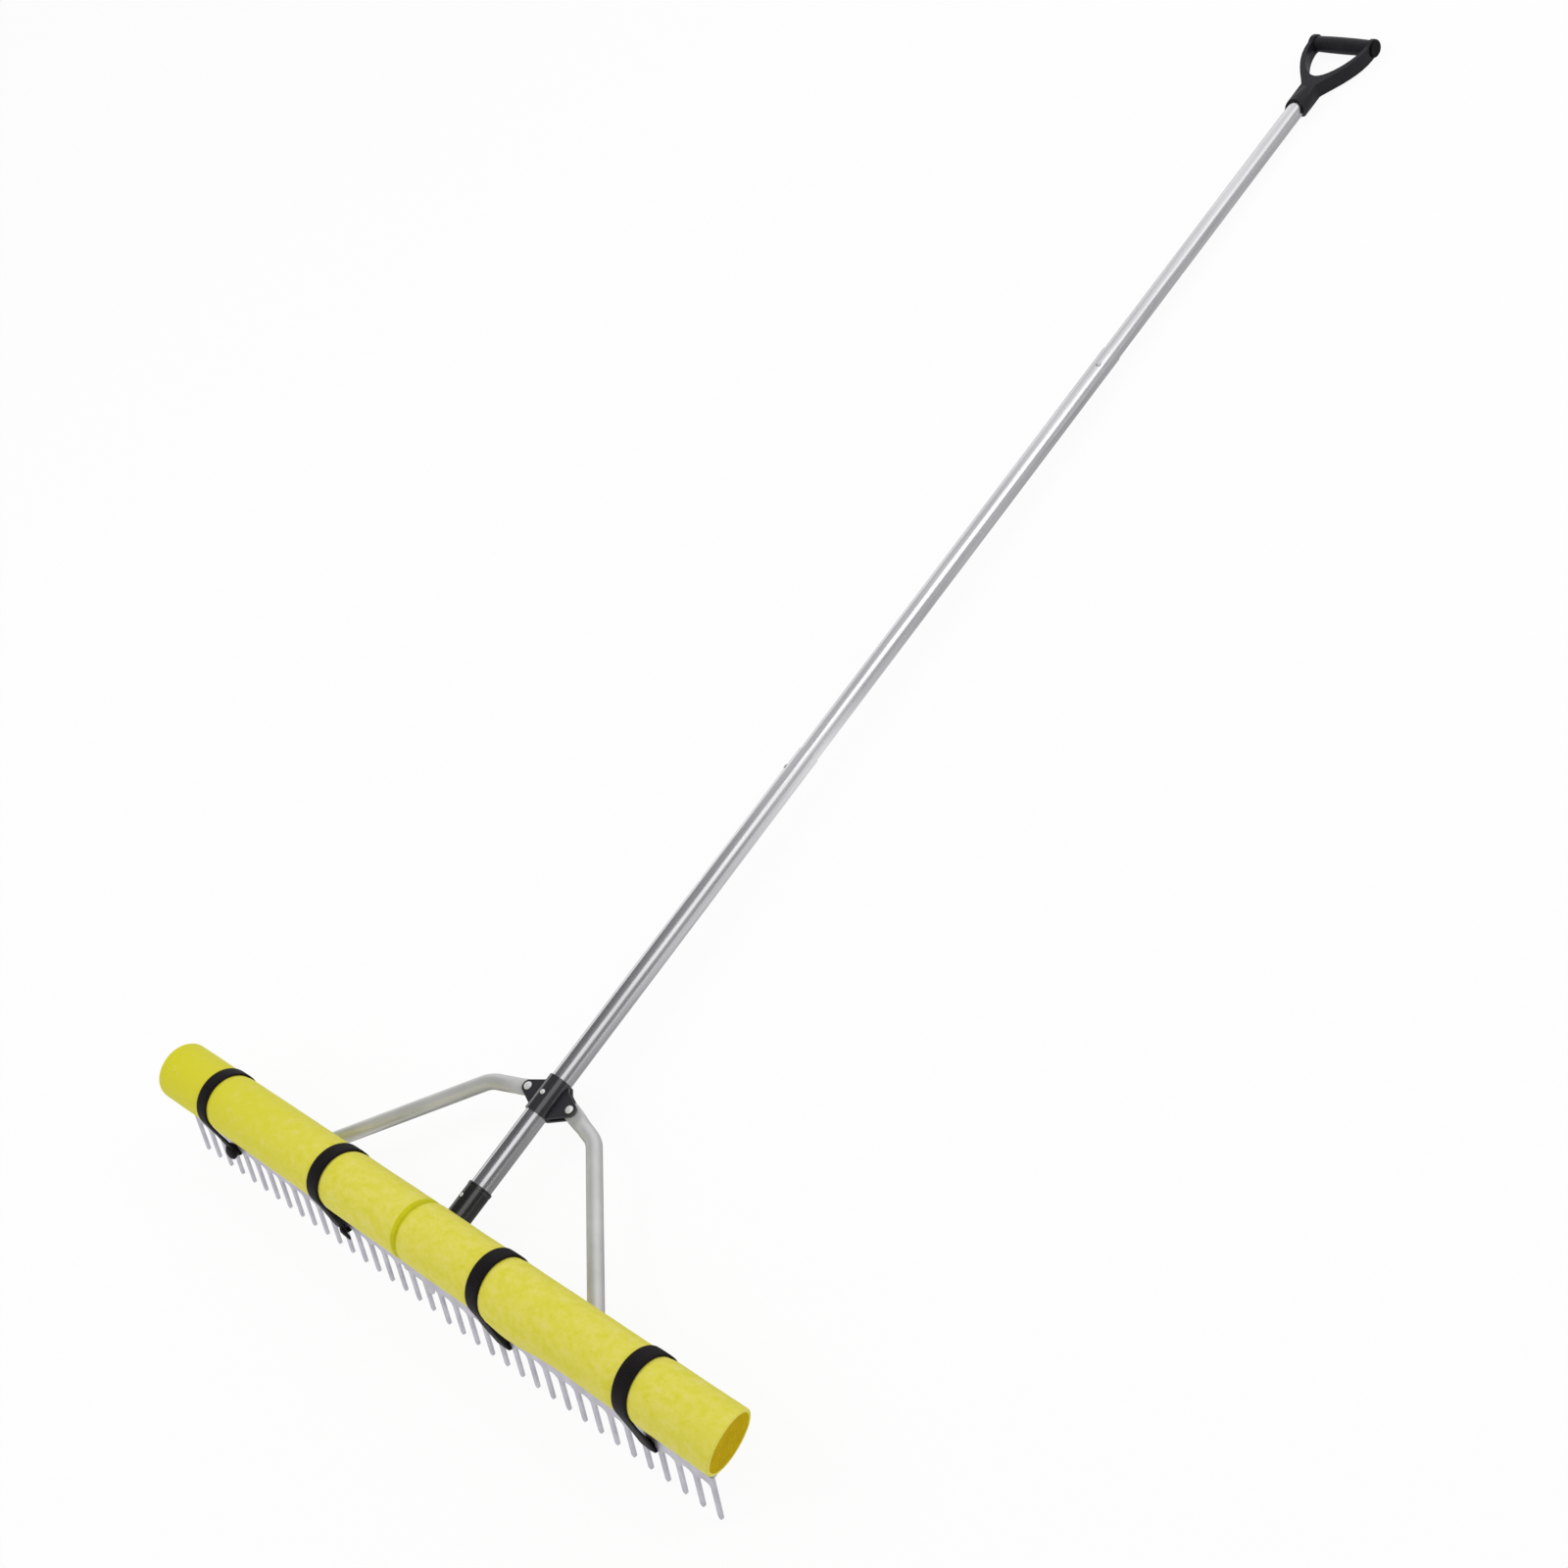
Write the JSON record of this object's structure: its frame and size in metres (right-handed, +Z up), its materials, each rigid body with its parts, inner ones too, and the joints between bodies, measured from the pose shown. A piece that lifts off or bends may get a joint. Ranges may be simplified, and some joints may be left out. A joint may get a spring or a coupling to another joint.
{
  "type": "telescopic rake",
  "caption": "Floating lake and pond rake: two lapped tine combs under a strapped foam float, on a telescoping pole with snap buttons and a D-handle.",
  "frame": {"origin": "under the middle of the bounding box, on the floor that the tine tips and the handle's arms rest on", "axes": "+X along the head, +Y from the head to the handle along the pole's plan, +Z up"},
  "size_m": [0.944, 1.9252, 0.1327],
  "materials": {
    "cut_aluminium": "satin",
    "drawn_aluminium": "satin",
    "grey_tube": "satin",
    "black_plastic": "satin",
    "charcoal_plastic": "satin",
    "yellow_foam": "matte",
    "black_webbing": "matte",
    "zinc_steel": "satin",
    "spring_steel": "satin"
  },
  "bodies": {
    "head_and_lower_pole": {"comb_left": "cut_aluminium", "comb_right": "cut_aluminium", "lower_tube": "drawn_aluminium", "socket_stub": "grey_tube", "brace_left": "grey_tube", "brace_right": "grey_tube", "ferrule": "black_plastic", "clamp_top": "black_plastic", "clamp_bottom": "black_plastic", "float_left": "yellow_foam", "float_right": "yellow_foam", "strap_1": "black_webbing", "strap_2": "black_webbing", "strap_3": "black_webbing", "strap_4": "black_webbing", "stub_bolt_left": "zinc_steel", "stub_bolt_right": "zinc_steel", "stub_nut_left": "zinc_steel", "stub_nut_right": "zinc_steel", "brace_bolt_left": "zinc_steel", "brace_bolt_right": "zinc_steel", "brace_nut_left": "zinc_steel", "brace_nut_right": "zinc_steel", "wing_bolt_left": "zinc_steel", "wing_bolt_right": "zinc_steel", "wing_nut_left": "zinc_steel", "wing_nut_right": "zinc_steel", "clamp_screw": "zinc_steel", "foot_snap_spring": "spring_steel"},
    "middle_section": {"middle_tube": "drawn_aluminium", "middle_end_plug": "black_plastic", "lower_snap_spring": "spring_steel"},
    "upper_section": {"upper_tube": "drawn_aluminium", "upper_end_plug": "black_plastic", "upper_snap_spring": "spring_steel", "handle_yoke": "charcoal_plastic", "handle_grip": "charcoal_plastic", "grip_cap_left": "black_plastic", "grip_cap_right": "black_plastic", "handle_screw": "zinc_steel"},
    "foot_button": {"foot_snap_button": "spring_steel"},
    "lower_button": {"lower_snap_button": "spring_steel"},
    "upper_button": {"upper_snap_button": "spring_steel"}
  },
  "joints": [
    {"name": "lower_slide", "type": "slide", "parent": "head_and_lower_pole", "child": "middle_section", "axis": [0, 0.9998, -0.0206], "range_m": [-0.445, 0], "deforming": ["lower_snap_button"]},
    {"name": "upper_slide", "type": "slide", "parent": "middle_section", "child": "upper_section", "axis": [0, 0.9998, -0.0206], "range_m": [-0.42, 0], "deforming": ["upper_snap_button"]},
    {"name": "foot_button_press", "type": "slide", "parent": "head_and_lower_pole", "child": "foot_button", "axis": [0.3746, -0.0191, -0.927], "range_m": [0, 0.0026], "stiffness_N_per_m": 1500, "springref_m": -0.002, "deforming": ["foot_snap_spring"]},
    {"name": "lower_button_press", "type": "slide", "parent": "middle_section", "child": "lower_button", "axis": [0.7193, -0.0143, -0.6945], "range_m": [0, 0.0026], "stiffness_N_per_m": 1500, "springref_m": -0.002, "deforming": ["lower_snap_spring"]},
    {"name": "upper_button_press", "type": "slide", "parent": "upper_section", "child": "upper_button", "axis": [-0.309, -0.0196, -0.9509], "range_m": [0, 0.0026], "stiffness_N_per_m": 1500, "springref_m": -0.002, "deforming": ["upper_snap_spring"]}
  ]
}
